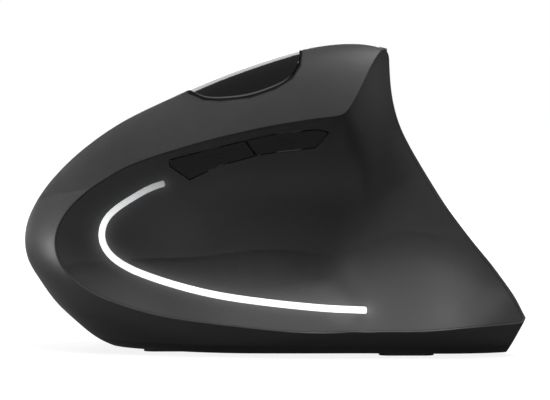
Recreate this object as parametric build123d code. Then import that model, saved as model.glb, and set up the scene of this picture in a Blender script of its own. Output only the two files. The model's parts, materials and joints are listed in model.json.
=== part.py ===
from build123d import *
import math
import os

import numpy as np

# Vertical mouse for the right hand. The nose points to -X, the thumb side
# to -Y and the finger side to +Y. It stands on the plane z = 0.

# Overall size of the body
LENGTH = 120
WIDTH = 64
HEIGHT = 74

# Casing walls and seams
THUMB_WALL = 2.0
FINGER_WALL = 2.0
ROOF_INSET = 3.0          # how far the cavity's rings stand inside the roof's
CREST_ROUND = 2.6
PANEL_LIP = 0.8           # rim of the hood left around the thumb panel
PANEL_GAP = 0.1
SEAT_GAP = 0.1
FIT_GAP = 0.3             # clearance round pieces that are let into a wall
FOOT_THICK = 0.9
FOOT_RECESS = 0.3
BASE_THICK = 2.0
SEAM_Z = FOOT_THICK - FOOT_RECESS + BASE_THICK
BOARD_CLEAR = 0.6         # free space between boards and casing
FIELD_STEP = 0.5          # step for the slope of the side faces
FACE_TOLERANCE = 0.001

# Main buttons, set in the finger side
BUTTON_REAR_X = -4.0      # rear edge of both main buttons
BUTTON_SEAM_Y = 3.2       # seam between the buttons and the crest
BUTTON_LOW_Z = 10.0       # lower edge of the lower button
BUTTON_GAP = 0.5
CREST_GAP = 0.8           # wider, because the buttons swing towards it
SPINE_WIDTH = 10.4        # fixed bridge that carries wheel and speed button
POST_SIDE = 3.0           # square posts that press the switches
PRESS_GAP = 0.1           # free space between a post and its plunger

# Scroll wheel, placed by its spot on the finger face
WHEEL_X = -33.0
WHEEL_Z = 36.5
SPINE_SLOPE = 0.36        # climb of the bridge towards the rear
WHEEL_RADIUS = 11.0
WHEEL_WIDTH = 6.5
WHEEL_OUT = 3.4           # how far the wheel stands out of the face
TYRE_THICK = 2.2
GROOVE_COUNT = 28
GROOVE_RADIUS = 0.45
WHEEL_GAP = 0.9
AXLE_RADIUS = 1.5
AXLE_FIT = 0.05
ROTOR_RADIUS = 3.2
ROTOR_LENGTH = 2.6
ENCODER_SIZE = (10.0, 8.0, 4.0)
CARRIER_WALL = 1.3
CARRIER_GAP = 0.7         # between tyre and carrier side
CARRIER_RAIL = 6.0        # height of the carrier's cross rails
CARRIER_EAR = 3.0         # carrier side above the axle
CARRIER_ARM = 1.6
CARRIER_TRAVEL = 0.4
HUB_HOLE_COUNT = 6
HUB_HOLE_RADIUS = 1.5

# Boards and switches
FINGER_BOARD_DEPTH = 15.5     # below the finger face, at the wheel
FINGER_BOARD_FRONT = 14.0     # from the wheel's axle
FINGER_BOARD_REAR = 29.0
FINGER_BOARD_HALF = 17.5      # beside the wheel, for the main switches
FINGER_BOARD_STEP_X = 8.5     # behind this the board is narrow
FINGER_BOARD_NARROW = 8.0
BOARD_THICK = 1.2
SNAP_SIZE = (12.8, 6.5, 5.8)  # main switch
SNAP_SPREAD = 13.8            # main switches from the wheel's middle
SNAP_PLUNGER = (1.2, 2.4, 2.8)
SNAP_PROUD = 0.9
SNAP_SLOT_SPARE = 0.5
SNAP_PLUNGER_X = -3.0         # towards the nose from the switch's middle
TACT_SIDE = 6.0               # small push switch
TACT_HEIGHT = 3.5
TACT_PLUNGER_RADIUS = 1.7
TACT_PROUD = 1.0
TACT_SINK = 1.5
TACT_HOLD = 0.8               # length of plunger inside the switch
PLUNGER_FIT = 0.1
MIDDLE_SWITCH_X = 17.6        # behind the wheel's axle
SPEED_X = 25.4
SPEED_LENGTH = 8.0
SPEED_WIDTH = 4.6

# Thumb buttons and their board
THUMB_BUTTON_GAP = 0.22
THUMB_BUTTON_DEEP = 3.0
THUMB_CORNER = 0.35
THUMB_BOARD_Y = -1.4
THUMB_BOARD_LOW_Z = 41.0
THUMB_BOARD_HIGH_Z = 53.4
THUMB_BOARD_FRONT_X = -18.0
THUMB_BOARD_REAR_X = 13.0
THUMB_SWITCH_SPOTS = [(-13.6, 45.8), (4.4, 49.8)]
THUMB_POST_SPOTS = [(-7.6, 42.9), (8.8, 45.3)]
THUMB_POST_RADIUS = 1.7

# Light strip in the thumb panel
STRIP_WIDTH = 1.5
STRIP_DEEP = 2.4
STRIP_CORNER = 0.45
STRIP_FIT = 0.08
STRIP_CHIP = (3.4, 0.8, 2.8)

# Gloss insert in the crest
INSERT_GAP = 0.3
INSERT_EDGE_Y = 2.4

# Main board and sensor
MAIN_BOARD_LOW = (-36.0, -13.0)
MAIN_BOARD_HIGH = (-13.5, 13.6)
MAIN_SCREW_SPOTS = [(-31.5, 8.5), (-17.0, -9.5), (-28.0, -10.0)]
STANDOFF_HEIGHT = 3.0
STANDOFF_RADIUS = 2.4
SENSOR_X = -24.5
SENSOR_Y = 0.0
SENSOR_WINDOW = (9.0, 7.0)
LENS_SIZE = (12.0, 10.0)
LENS_RADIUS = 2.4
CHIP_SIZE = (8.0, 16.0, 3.0)
CONTROLLER_SIZE = (6.0, 6.0, 1.0)
CRYSTAL_SIZE = (3.2, 2.5, 0.9)
PLUG_SIZE = (9.0, 3.4, 2.4)
BOARD_RIM = 0.5           # free edge of the board beside the pieces on it
SCREW_RADIUS = 1.0
HEAD_RADIUS = 1.9
HEAD_THICK = 1.2
SOCKET_DEEP = 0.6
SCREW_FIT = 0.05
BOARD_SCREW_LENGTH = 4.0
COLUMN_SIDE = 3.6
COLUMN_SPOTS = [(-33.0, -4.4), (-8.0, 9.0)]

# Battery bay
BAY_FRONT_X = -10.0
BAY_REAR_X = 40.0
BAY_LOW_Y = -19.8
BAY_HIGH_Y = 4.4
BAY_WALL = 1.2
BAY_WALL_HEIGHT = 6.0
BAY_END_HEIGHT = 11.5
BATTERY_LENGTH = 44.5
BATTERY_RADIUS = 5.25
NUB_RADIUS = 1.9
NUB_LENGTH = 1.0
BATTERY_GAP = 0.5
CONTACT_THICK = 0.4
SPRING_RADIUS = 2.4
SPRING_WIRE = 0.35
SPRING_TURN_COUNT = 3
DOOR_GAP = 0.3
DOOR_THICK = 1.8
DOOR_GRIP_RADIUS = 4.0

# Receiver in its slot
RECEIVER_X = 22.0
RECEIVER_Y = 15.0
RECEIVER_PLUG = (12.0, 4.5, 11.4)
RECEIVER_CAP = (14.6, 6.6, 5.2)
RECEIVER_GAP = 0.3

# Power switch under the main board
POWER_X = -19.0
POWER_Y = 9.6
POWER_BODY = (9.0, 4.0, 2.0)
POWER_KNOB = (4.4, 3.6)
POWER_FLANGE = (7.0, 5.6, 0.5)
POWER_LEVER = 1.5
POWER_TRAVEL = 2.4
POWER_CLEAR = 0.2

# Case screws, bosses and glide feet
BOSS_SPOTS = [(-27.0, 17.0), (5.0, 24.6), (50.0, -17.5), (-19.0, -17.6)]
BOSS_RADIUS = 2.8
BOSS_HEIGHT = 9.0
RIB_THICK = 1.6
RIB_REACH = 10.0
SCREW_LENGTH = 8.0
FOOT_GAP = 0.1
FOOT_SPOTS = [(-24.0, -12.0), (-3.0, 13.5), (36.0, 8.4), (32.0, -22.6)]
FOOT_LENGTH = 13.0
FOOT_WIDTH = 4.6

# Lines across the side faces, closer where they bend, as shares of LENGTH
# and of HEIGHT
FACE_LENGTH_SHARES = (
    -0.58, -0.46, -0.35, -0.25, -0.16, -0.08, -0.01, 0.04, 0.08, 0.11, 0.135,
    0.16, 0.185, 0.21, 0.24, 0.28, 0.33, 0.38, 0.43, 0.48, 0.53, 0.59, 0.66,
)
FACE_HEIGHT_SHARES = (
    -0.08, 0.01, 0.10, 0.19, 0.28, 0.36, 0.44, 0.51, 0.58, 0.64, 0.69, 0.73,
    0.765, 0.80, 0.84, 0.89, 0.95, 1.02, 1.09, 1.16,
)

# Outline of the widest ring of the roof, from the base round the nose and
# over the crest, as (x share of LENGTH, z share of HEIGHT)
RING_SHARES = [
    (-0.233, -0.018), (-0.283, -0.011), (-0.320, 0.004), (-0.355, 0.030),
    (-0.397, 0.084), (-0.437, 0.146), (-0.473, 0.227), (-0.493, 0.284),
    (-0.500, 0.351), (-0.493, 0.419), (-0.474, 0.485), (-0.433, 0.576),
    (-0.379, 0.655), (-0.301, 0.741), (-0.229, 0.798), (-0.169, 0.843),
    (-0.088, 0.896), (0.008, 0.948), (0.098, 0.986), (0.186, 1.001),
    (0.300, 0.989), (0.433, 0.919), (0.533, 0.784), (0.583, 0.568),
    (0.575, 0.270), (0.517, 0.054), (0.417, -0.020), (0.167, -0.020),
    (-0.083, -0.020),
]

# Rings of the roof, as (y share of WIDTH, front and rear shares of LENGTH,
# bottom and top shares of HEIGHT)
STATION_SHARES = [
    (-0.562, 0.080, 0.260, 0.176, 0.297),
    (-0.500, 0.000, 0.380, 0.086, 0.405),
    (-0.438, -0.142, 0.460, 0.030, 0.500),
    (-0.375, -0.246, 0.525, -0.003, 0.595),
    (-0.281, -0.358, 0.575, -0.014, 0.716),
    (-0.188, -0.432, 0.583, -0.018, 0.831),
    (-0.094, -0.478, 0.583, -0.020, 0.932),
    (0.016, -0.500, 0.583, -0.020, 1.001),
    (0.156, -0.492, 0.583, -0.020, 0.986),
    (0.344, -0.433, 0.583, -0.020, 0.892),
    (0.562, -0.300, 0.583, -0.020, 0.703),
]

# Slanted plane that ends the roof at the wing corner, by two (x, z) points
TAIL_SHARES = [(0.464, 0.008), (0.502, 0.122)]

# Rear ridge where both side faces meet, as (x share of LENGTH, z share of
# HEIGHT, y share of WIDTH), from the peak down to the wing corner
RIDGE_SHARES = [
    (0.238, 0.946, 0.016), (0.240, 0.881, 0.012), (0.245, 0.818, 0.004),
    (0.253, 0.766, -0.008), (0.270, 0.692, -0.034), (0.291, 0.634, -0.060),
    (0.315, 0.566, -0.092), (0.344, 0.486, -0.136), (0.377, 0.412, -0.182),
    (0.403, 0.354, -0.220), (0.433, 0.300, -0.258), (0.457, 0.245, -0.294),
    (0.483, 0.174, -0.334), (0.500, 0.119, -0.362),
]

# Finger side face, in the same order
FINGER_SHARES = [
    (-0.483, 0.351, 0.086), (-0.417, 0.581, 0.039), (-0.417, 0.351, 0.188),
    (-0.417, 0.162, 0.203), (-0.333, 0.703, 0.039), (-0.333, 0.541, 0.172),
    (-0.333, 0.338, 0.289), (-0.333, 0.135, 0.328), (-0.333, 0.000, 0.312),
    (-0.167, 0.838, 0.047), (-0.167, 0.676, 0.203), (-0.167, 0.473, 0.336),
    (-0.167, 0.243, 0.422), (-0.167, 0.068, 0.445), (-0.167, -0.041, 0.438),
    (0.000, 0.946, 0.055), (0.000, 0.784, 0.203), (0.000, 0.568, 0.344),
    (0.000, 0.338, 0.438), (0.000, 0.135, 0.484), (0.000, 0.000, 0.477),
    (0.142, 1.000, 0.039), (0.142, 0.838, 0.148), (0.142, 0.622, 0.281),
    (0.142, 0.378, 0.391), (0.142, 0.135, 0.469), (0.142, 0.000, 0.461),
    (0.250, 0.541, 0.125), (0.250, 0.338, 0.250), (0.250, 0.135, 0.359),
    (0.250, 0.000, 0.367), (0.350, 0.338, 0.000), (0.350, 0.162, 0.125),
    (0.350, 0.000, 0.172), (0.433, 0.162, -0.148), (0.433, 0.000, -0.078),
    (0.464, 0.000, -0.328),
    (0.550, 0.000, -0.460), (0.560, 0.200, -0.480),
]

# Crease round the thumb hollow: where the hollow's face leaves the roof
CREASE_SHARES = [
    (0.234, 0.988), (0.190, 0.877), (0.148, 0.765), (0.078, 0.749),
    (0.008, 0.732), (-0.092, 0.697), (-0.191, 0.653), (-0.295, 0.593),
    (-0.383, 0.496), (-0.413, 0.441), (-0.430, 0.359), (-0.422, 0.315),
    (-0.401, 0.247), (-0.354, 0.192), (-0.275, 0.147), (-0.171, 0.114),
    (0.008, 0.086), (0.144, 0.082), (0.261, 0.085), (0.349, 0.093),
    (0.418, 0.104), (0.462, 0.113),
]
CREASE_CORNER = 2             # the crease spot where its two upper runs meet
REAR_FACE_SHARES = (0.18, 0.30)    # the rear face lies past this x, above this z
RIDGE_BLEND_SHARE = 0.005     # softness of the ridge between hollow and rear face

# Depth of the thumb hollow inside its crease
HOLLOW_SHARES = [
    (-0.292, 0.338, -0.164), (-0.292, 0.486, -0.153), (-0.125, 0.203, -0.312),
    (-0.125, 0.405, -0.180), (-0.125, 0.568, -0.148), (0.042, 0.162, -0.375),
    (0.042, 0.338, -0.227), (0.042, 0.541, -0.148), (0.042, 0.676, -0.172),
    (0.167, 0.162, -0.383), (0.167, 0.338, -0.227), (0.167, 0.541, -0.145),
    (0.167, 0.676, -0.172), (0.267, 0.162, -0.391), (0.267, 0.338, -0.211),
    (0.250, 0.541, -0.102), (0.350, 0.189, -0.367), (0.350, 0.338, -0.211),
    (0.417, 0.189, -0.344), (0.550, 0.200, -0.345), (0.560, 0.000, -0.480),
    (0.433, 0.000, -0.540), (0.300, 0.000, -0.620), (0.050, 0.000, -0.640),
    (-0.200, 0.000, -0.600),
]
SMOOTHING_SHARE = 0.0002
RING_LIMIT_SHARE = 0.25       # the most that a ring's height gives to its inset

# Outlines of the two thumb buttons seen from the thumb side, as (x share of
# LENGTH, z share of HEIGHT)
FRONT_BUTTON_SHARES = [
    (-0.203, 0.620), (-0.203, 0.598), (-0.163, 0.552), (-0.102, 0.598),
    (-0.029, 0.631), (-0.052, 0.683), (-0.120, 0.655),
]
REAR_BUTTON_SHARES = [
    (-0.052, 0.683), (-0.029, 0.631), (0.010, 0.642), (0.091, 0.657),
    (0.118, 0.709), (0.092, 0.719), (0.010, 0.705),
]

# Middle line of the light strip, in the same way, from its upper end
STRIP_SHARES = [
    (-0.213, 0.542), (-0.250, 0.520), (-0.278, 0.494), (-0.314, 0.454),
    (-0.332, 0.420), (-0.339, 0.375), (-0.334, 0.340), (-0.316, 0.303),
    (-0.281, 0.268), (-0.239, 0.242), (-0.183, 0.216), (-0.119, 0.193),
    (-0.050, 0.176), (0.010, 0.165), (0.095, 0.153), (0.188, 0.146),
]
STRIP_CHIP_SHARES = (0.03, 0.24, 0.46, 0.80)

# Curved edge of the crest insert seen from above, as (x share of LENGTH,
# y share of WIDTH), from its front tip
INSERT_SHARES = [
    (-0.174, 0.080), (-0.171, 0.036), (-0.160, -0.016), (-0.133, -0.069),
    (-0.100, -0.095), (-0.042, -0.116), (0.008, -0.114), (0.040, -0.098),
    (0.055, -0.066), (0.059, 0.036), (0.060, 0.080),
]


def smooth_field(points):
    """Return y(x, z) as a smooth sheet near the (x, z, y) points."""
    table = np.array(points, float)
    knots = table[:, :2] / LENGTH
    count = len(knots)
    reach = np.linalg.norm(knots[:, None] - knots[None], axis=2) ** 3
    reach += SMOOTHING_SHARE * np.eye(count)
    plane = np.column_stack([np.ones(count), knots])
    system = np.block([[reach, plane], [plane.T, np.zeros((3, 3))]])
    weights = np.linalg.solve(system, np.append(table[:, 2], np.zeros(3)))

    def field(x, z):
        spot = np.stack([np.asarray(x, float), np.asarray(z, float)], -1) / LENGTH
        span = np.linalg.norm(spot[..., None, :] - knots, axis=-1) ** 3
        tilt = weights[count] + spot @ weights[count + 1:]
        return span @ weights[:count] + tilt

    return field


def sunk(field, x, z, depth):
    """The field's y at (x, z), its whole sheet moved squarely by depth."""
    step = FIELD_STEP
    slope_x = (field(x + step, z) - field(x - step, z)) / (2 * step)
    slope_z = (field(x, z + step) - field(x, z - step)) / (2 * step)
    return field(x, z) + depth * np.sqrt(1 + slope_x ** 2 + slope_z ** 2)


def sheet(field, depth):
    """A face through y(x, z, depth)."""
    along = np.array(FACE_LENGTH_SHARES) * LENGTH
    up = np.array(FACE_HEIGHT_SHARES) * HEIGHT
    x, z = np.meshgrid(along, up, indexing="ij")
    spots = np.stack([x, field(x, z, depth), z], -1)
    rows = [[tuple(map(float, spot)) for spot in row] for row in spots]
    return Face.make_surface_from_array_of_points(
        rows, tol=FACE_TOLERANCE, min_deg=3, max_deg=3
    )


def mm(shares):
    """Turn (x, z, y) or (x, z) shares into millimetres."""
    sizes = (LENGTH, HEIGHT, WIDTH)
    return [tuple(s * size for s, size in zip(spot, sizes)) for spot in shares]


def block(size, spot, frame=Location()):
    """A box with its middle at spot in the frame."""
    corner = Plane(tuple(-side / 2 for side in size))
    return Solid.make_box(*size, corner).moved(frame * Pos(*spot))


def ring(station, inset):
    """The roof's outline at one y, fitted between its four limits."""
    y, front, rear, bottom, top = station
    xs = [x for x, z in RING_SHARES]
    zs = [z for x, z in RING_SHARES]
    inset = min(inset, RING_LIMIT_SHARE * (top - bottom) * HEIGHT)
    low_x, high_x = front * LENGTH + inset, rear * LENGTH - inset
    low_z, high_z = bottom * HEIGHT + inset, top * HEIGHT - inset
    spots = []
    for x, z in RING_SHARES:
        along = (x - min(xs)) / (max(xs) - min(xs))
        up = (z - min(zs)) / (max(zs) - min(zs))
        spots.append((
            low_x + along * (high_x - low_x),
            y * WIDTH,
            low_z + up * (high_z - low_z),
        ))
    return Wire([Edge.make_spline([Vector(*spot) for spot in spots], periodic=True)])


def roof(inset=0):
    """The rounded barrel that the hood's roof, nose and lip lie on."""
    barrel = Solid.make_loft([ring(station, inset) for station in STATION_SHARES])
    low, high = [Vector(x, 0, z) for x, z in mm(TAIL_SHARES)]
    up = (high - low).normalized()
    out = Vector(up.Z, 0, -up.X)
    tail = Plane(low - out * inset, x_dir=out, z_dir=up).location
    return barrel - block((LENGTH, 4 * WIDTH, 4 * HEIGHT), (LENGTH / 2, 0, 0), tail)


ROOF = roof()
finger_y = smooth_field(mm(FINGER_SHARES + RIDGE_SHARES))


def crease_spots():
    """Where lines across the body meet the roof on the thumb side."""
    spots = []
    for x, z in mm(CREASE_SHARES):
        across = Axis((x, -2 * WIDTH, z), (0, 1, 0))
        hits = ROOF.find_intersection_points(across)
        spots.append((x, z, min(point.Y for point, normal in hits)))
    return spots


def thumb_fields():
    """The fields of the hollow and of the rear face, alike low down."""
    creases = crease_spots()
    spots = creases + mm(HOLLOW_SHARES)
    spots += [(x, z, float(finger_y(x, z))) for x, z, y in mm(RIDGE_SHARES)]
    rear_x, rear_z = REAR_FACE_SHARES[0] * LENGTH, REAR_FACE_SHARES[1] * HEIGHT
    low = [spot for spot in spots if spot[1] < rear_z]
    front = [spot for spot in spots if spot[1] >= rear_z and spot[0] < rear_x]
    rear = [spot for spot in spots if spot[1] >= rear_z and spot[0] >= rear_x]
    rear.append(creases[CREASE_CORNER])
    return smooth_field(low + front), smooth_field(low + rear)


HOLLOW_FIELD, REAR_FIELD = thumb_fields()


def thumb_y(x, z, depth=0):
    """The thumb side's face: the inner one of its two fields, softly joined."""
    first = sunk(HOLLOW_FIELD, x, z, depth)
    second = sunk(REAR_FIELD, x, z, depth)
    soft = RIDGE_BLEND_SHARE * WIDTH
    return (first + second + np.sqrt((first - second) ** 2 + soft ** 2)) / 2


def finger_side_y(x, z, depth):
    """The finger side's face."""
    return sunk(finger_y, x, z, depth)


def beyond_thumb(depth=0):
    """Everything on the thumb's side of the hollow, sunk in by depth."""
    return Solid.extrude(sheet(thumb_y, depth), Vector(0, -3 * WIDTH, 0))


def beyond_finger(depth=0):
    """Everything on the fingers' side of their face, sunk in by depth."""
    return Solid.extrude(sheet(finger_side_y, -depth), Vector(0, 3 * WIDTH, 0))


def span(low, high):
    """A box between two corners."""
    size = [b - a for a, b in zip(low, high)]
    return Solid.make_box(*size, Plane(low))


def layer(low_z, high_z):
    """A horizontal layer wider than the body."""
    return span((-LENGTH, -2 * WIDTH, low_z), (LENGTH, 2 * WIDTH, high_z))


def rod(radius, length, spot, axis=(0, 0, 1), frame=Location()):
    """A cylinder that starts at spot and runs along axis in the frame."""
    return Solid.make_cylinder(radius, length, Plane(spot, z_dir=axis)).moved(frame)


def joined(first, *others):
    """All the given solids as one."""
    return first.fuse(*others).clean() if others else first


def capsule(length, width, height, spot, frame=Location()):
    """An upright block with round ends, its base at spot."""
    half = (length - width) / 2
    x, y, z = spot
    ends = [
        rod(width / 2, height, (x + side * half, y, z), frame=frame)
        for side in (-1, 1)
    ]
    bar = block((2 * half, width, height), (x, y, z + height / 2), frame)
    return joined(bar, *ends)


def outline_face(points, grow=0, corner=0):
    """A flat face in the XZ plane inside the (x, z) points."""
    wire = Wire.make_polygon([Vector(x, 0, z) for x, z in points], close=True)
    if grow:
        wire = wire.offset_2d(grow, Kind.INTERSECTION)
    face = Face(wire)
    return face.fillet_2d(corner, face.vertices()) if corner else face


def across(face):
    """Push a face of the XZ plane right through the body."""
    deep = Vector(0, 4 * WIDTH, 0)
    return Solid.extrude(face.moved(Pos(0, -2 * WIDTH, 0)), deep)


# The finger frame sits on the finger face at the wheel: local X runs
# rearward along the bridge, local Y out of the face, local Z up the wheel's
# axle
def finger_frame():
    x, z, step = WHEEL_X, WHEEL_Z, FIELD_STEP
    slope_x = float(finger_y(x + step, z) - finger_y(x - step, z)) / (2 * step)
    slope_z = float(finger_y(x, z + step) - finger_y(x, z - step)) / (2 * step)
    along = Vector(1, slope_x + slope_z * SPINE_SLOPE, SPINE_SLOPE)
    out = Vector(-slope_x, 1, -slope_z)
    spot = (x, float(finger_y(x, z)), z)
    return Plane(spot, x_dir=along, z_dir=along.cross(out)).location


FINGER = finger_frame()
AXLE_Y = WHEEL_OUT - WHEEL_RADIUS
BOARD_Y = -FINGER_BOARD_DEPTH
CARRIER_HALF = WHEEL_WIDTH / 2 + CARRIER_GAP
CARRIER_FOOT_Y = BOARD_Y + CARRIER_TRAVEL + SEAT_GAP
CARRIER_END = WHEEL_RADIUS + WHEEL_GAP
BASE_Z = FOOT_THICK - FOOT_RECESS
TOP_Z = 1.2 * HEIGHT
MAIN_BOARD_Z = SEAM_Z + STANDOFF_HEIGHT
BAY_LENGTH = BAY_REAR_X - BAY_FRONT_X
BAY_WIDTH = BAY_HIGH_Y - BAY_LOW_Y
BAY_MIDDLE = ((BAY_REAR_X + BAY_FRONT_X) / 2, (BAY_HIGH_Y + BAY_LOW_Y) / 2)
BATTERY_Z = BASE_Z + DOOR_THICK + BATTERY_GAP + BATTERY_RADIUS
BATTERY_SPREAD = BATTERY_RADIUS + BATTERY_GAP / 2
BATTERY_YS = [BAY_MIDDLE[1] - BATTERY_SPREAD, BAY_MIDDLE[1] + BATTERY_SPREAD]


# Casing forms
def casing():
    """The outer form of the whole body above its feet, crest rounded."""
    form = (ROOF - beyond_thumb() - beyond_finger()) & layer(BASE_Z, TOP_Z)
    crest = max(
        (edge for edge in form.edges() if edge.center().Y > 0),
        key=lambda edge: edge.length,
    )
    return form.fillet(CREST_ROUND, [crest])


def free_space(extra=0):
    """The room inside the casing above the base, less extra all round."""
    room = roof(ROOF_INSET + extra) - beyond_finger(FINGER_WALL + extra)
    room = room - beyond_thumb(THUMB_WALL + extra)
    return room & layer(SEAM_Z, TOP_Z)


def bosses():
    """Screw bosses for the base, each tied to its wall by a rib."""
    solids = []
    for x, y in BOSS_SPOTS:
        side = math.copysign(RIB_REACH, y)
        post = rod(BOSS_RADIUS, BOSS_HEIGHT, (x, y, SEAM_Z))
        middle = (x, y + side / 2, SEAM_Z + BOSS_HEIGHT / 2)
        solids.append(post + block((RIB_THICK, RIB_REACH, BOSS_HEIGHT), middle))
    return solids


def boss_holes():
    """Holes for the case screws, up from the base."""
    return [
        rod(SCREW_RADIUS + SCREW_FIT, SCREW_LENGTH + 2 * SEAT_GAP, (x, y, BASE_Z))
        for x, y in BOSS_SPOTS
    ]


def thumb_window(rim, seat):
    """The part of the wall that the thumb panel fills or passes."""
    slab = roof(rim) & beyond_thumb(THUMB_WALL + seat)
    return slab - beyond_finger(rim)


def insert_outline(gap):
    """The crest insert's outline seen from above, smaller by gap all round."""
    line = Edge.make_spline([Vector(x * LENGTH, y * WIDTH, 0) for x, y in INSERT_SHARES])
    count = 2 * len(INSERT_SHARES)
    spots = []
    for step in range(count + 1):
        spot, way = line @ (step / count), line % (step / count)
        spots.append(spot + Vector(-way.Y, way.X, 0) * gap)
    wire = Wire([Edge.make_spline(spots), Edge.make_line(spots[-1], spots[0])])
    form = Solid.extrude(Face(wire).moved(Pos(0, 0, HEIGHT / 2)), Vector(0, 0, HEIGHT))
    return form & span((-LENGTH, -WIDTH, 0), (LENGTH, INSERT_EDGE_Y - gap, 2 * HEIGHT))


def button_cut(shell, upper, gap, crest_gap):
    """The part of the shell in one main button's opening, less gap."""
    side = 1 if upper else -1
    box = span((-LENGTH, BUTTON_SEAM_Y + crest_gap, BUTTON_LOW_Z + gap),
               (BUTTON_REAR_X - gap, WIDTH, TOP_Z))
    middle = (0, 0, side * (SPINE_WIDTH / 2 + gap + HEIGHT))
    beside = block((4 * LENGTH, 4 * WIDTH, 2 * HEIGHT), middle, FINGER)
    return largest((shell & box) & beside)


def largest(shape):
    """The solid with the most volume."""
    return max(shape.solids(), key=lambda solid: solid.volume)


def wheel_opening():
    """The slot in the bridge that the scroll wheel turns in."""
    length = 2 * (math.sqrt(WHEEL_RADIUS ** 2 - AXLE_Y ** 2) + WHEEL_GAP + FINGER_WALL)
    width = WHEEL_WIDTH + WHEEL_GAP
    return block((length, 4 * WHEEL_OUT + 4 * FINGER_WALL, width), (0, 0, 0), FINGER)


def speed_outline(gap):
    """The speed button's outline, pushed through the bridge."""
    turned = FINGER * Pos(SPEED_X, 0, 0) * Rot(90, 0, 0)
    length, width = SPEED_LENGTH + 2 * gap, SPEED_WIDTH + 2 * gap
    return capsule(length, width, 2 * WHEEL_RADIUS, (0, 0, -WHEEL_RADIUS), turned)


def thumb_button_face(shares, grow):
    """A thumb button's outline with rounded corners."""
    return outline_face(mm(shares), grow, THUMB_CORNER)


def strip_band(grow):
    """The light strip's band, pushed right through the thumb panel."""
    line = Edge.make_spline([Vector(x, 0, z) for x, z in mm(STRIP_SHARES)])
    half = STRIP_WIDTH / 2 + grow
    sides = ([], [])
    count = 2 * len(STRIP_SHARES)
    for step in range(count + 1):
        spot, way = line @ (step / count), line % (step / count)
        for side, points in zip((half, -half), sides):
            end = grow * ((step == count) - (step == 0))
            points.append(spot + Vector(-way.Z, 0, way.X) * side + way * end)
    left, right = sides
    wire = Wire([
        Edge.make_spline(left),
        Edge.make_line(left[-1], right[-1]),
        Edge.make_spline(right[::-1]),
        Edge.make_line(right[0], left[0]),
    ])
    face = Face(wire)
    return across(face.fillet_2d(STRIP_CORNER + grow, face.vertices()))


def strip_spot(share):
    """A place on the light strip's middle line, on the panel's face."""
    line = Edge.make_spline([Vector(x, 0, z) for x, z in mm(STRIP_SHARES)])
    spot = line @ share
    return (spot.X, float(thumb_y(spot.X, spot.Z)), spot.Z)


# Switches, built on a board whose face is at y in a frame
def tact_body(frame, x, y, z):
    """A small square push switch with a round hole for its plunger."""
    body = block((TACT_SIDE, TACT_HEIGHT, TACT_SIDE), (x, y + TACT_HEIGHT / 2, z), frame)
    top = y + TACT_HEIGHT
    hole = rod(TACT_PLUNGER_RADIUS + PLUNGER_FIT, TACT_SINK + TACT_PROUD,
               (x, top - TACT_SINK, z), (0, 1, 0), frame)
    return body - hole


def tact_plunger(frame, x, y, z):
    """The round plunger of a small push switch."""
    start = (x, y + TACT_HEIGHT - TACT_HOLD, z)
    return rod(TACT_PLUNGER_RADIUS, TACT_HOLD + TACT_PROUD, start, (0, 1, 0), frame)


def snap_body(z):
    """A main switch with a slot for its plunger."""
    length, height, width = SNAP_SIZE
    body = block(SNAP_SIZE, (0, BOARD_Y + height / 2, z), FINGER)
    slot_length, deep, slot_width = SNAP_PLUNGER
    sunk = deep - SNAP_PROUD + SNAP_SLOT_SPARE
    middle = (SNAP_PLUNGER_X, BOARD_Y + height - sunk / 2 + SNAP_PROUD / 2, z)
    fit = 2 * PLUNGER_FIT
    slot = block((slot_length + fit, sunk + SNAP_PROUD, slot_width + fit), middle, FINGER)
    return body - slot


def snap_plunger(z):
    """The plunger of a main switch."""
    top = BOARD_Y + SNAP_SIZE[1] + SNAP_PROUD
    spot = (SNAP_PLUNGER_X, top - SNAP_PLUNGER[1] / 2, z)
    return block(SNAP_PLUNGER, spot, FINGER)


def screw(length, spot, axis=(0, 0, 1), frame=Location()):
    """A screw whose head starts at spot, with a cross in its head."""
    head = rod(HEAD_RADIUS, HEAD_THICK, spot, axis, frame)
    shank = rod(SCREW_RADIUS, length, spot, axis, frame)
    place = frame * Plane(spot, z_dir=axis).location
    bar = (1.5 * HEAD_RADIUS, HEAD_RADIUS / 3, SOCKET_DEEP)
    cross = [
        block(bar, (0, 0, SOCKET_DEEP / 2), place * Rot(0, 0, turn))
        for turn in (0, 90)
    ]
    return (head + shank).cut(*cross)


def battery(y, plus_at_rear):
    """One cell lying along X, with its nub at one end."""
    side = 1 if plus_at_rear else -1
    body = BATTERY_LENGTH - NUB_LENGTH
    start = (BAY_MIDDLE[0] - side * BATTERY_LENGTH / 2, y, BATTERY_Z)
    return rod(BATTERY_RADIUS, body, start, (side, 0, 0)) + rod(
        NUB_RADIUS, BATTERY_LENGTH, start, (side, 0, 0)
    )


PARTS = {}


def keep(name, *solids):
    """Store the solids of one named piece for the export."""
    flat = [solid for shape in solids for solid in shape.solids()]
    PARTS[name] = flat[0] if len(flat) == 1 else Compound(children=flat)


def make_casing():
    """Hood, thumb panel, crest insert and the pieces let into them."""
    case = casing()
    hollow = roof(ROOF_INSET).cut(beyond_finger(FINGER_WALL))
    shell = (case & layer(SEAM_Z, TOP_Z)) - hollow
    shell = shell.fuse(*[boss & case for boss in bosses()])
    shell = shell.cut(
        thumb_window(PANEL_LIP - PANEL_GAP, SEAT_GAP), *boss_holes()
    )
    make_main_buttons(case, shell)
    keep("crest_insert", largest(shell & insert_outline(INSERT_GAP)))
    make_speed_button(largest(shell & speed_outline(0)))
    hood = shell.cut(insert_outline(0), wheel_opening(), speed_outline(BUTTON_GAP))
    for upper in (True, False):
        hood = hood - button_cut(shell, upper, 0, 0)
    keep("hood", largest(hood))
    make_thumb_panel(beyond_thumb())
    return case


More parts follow.
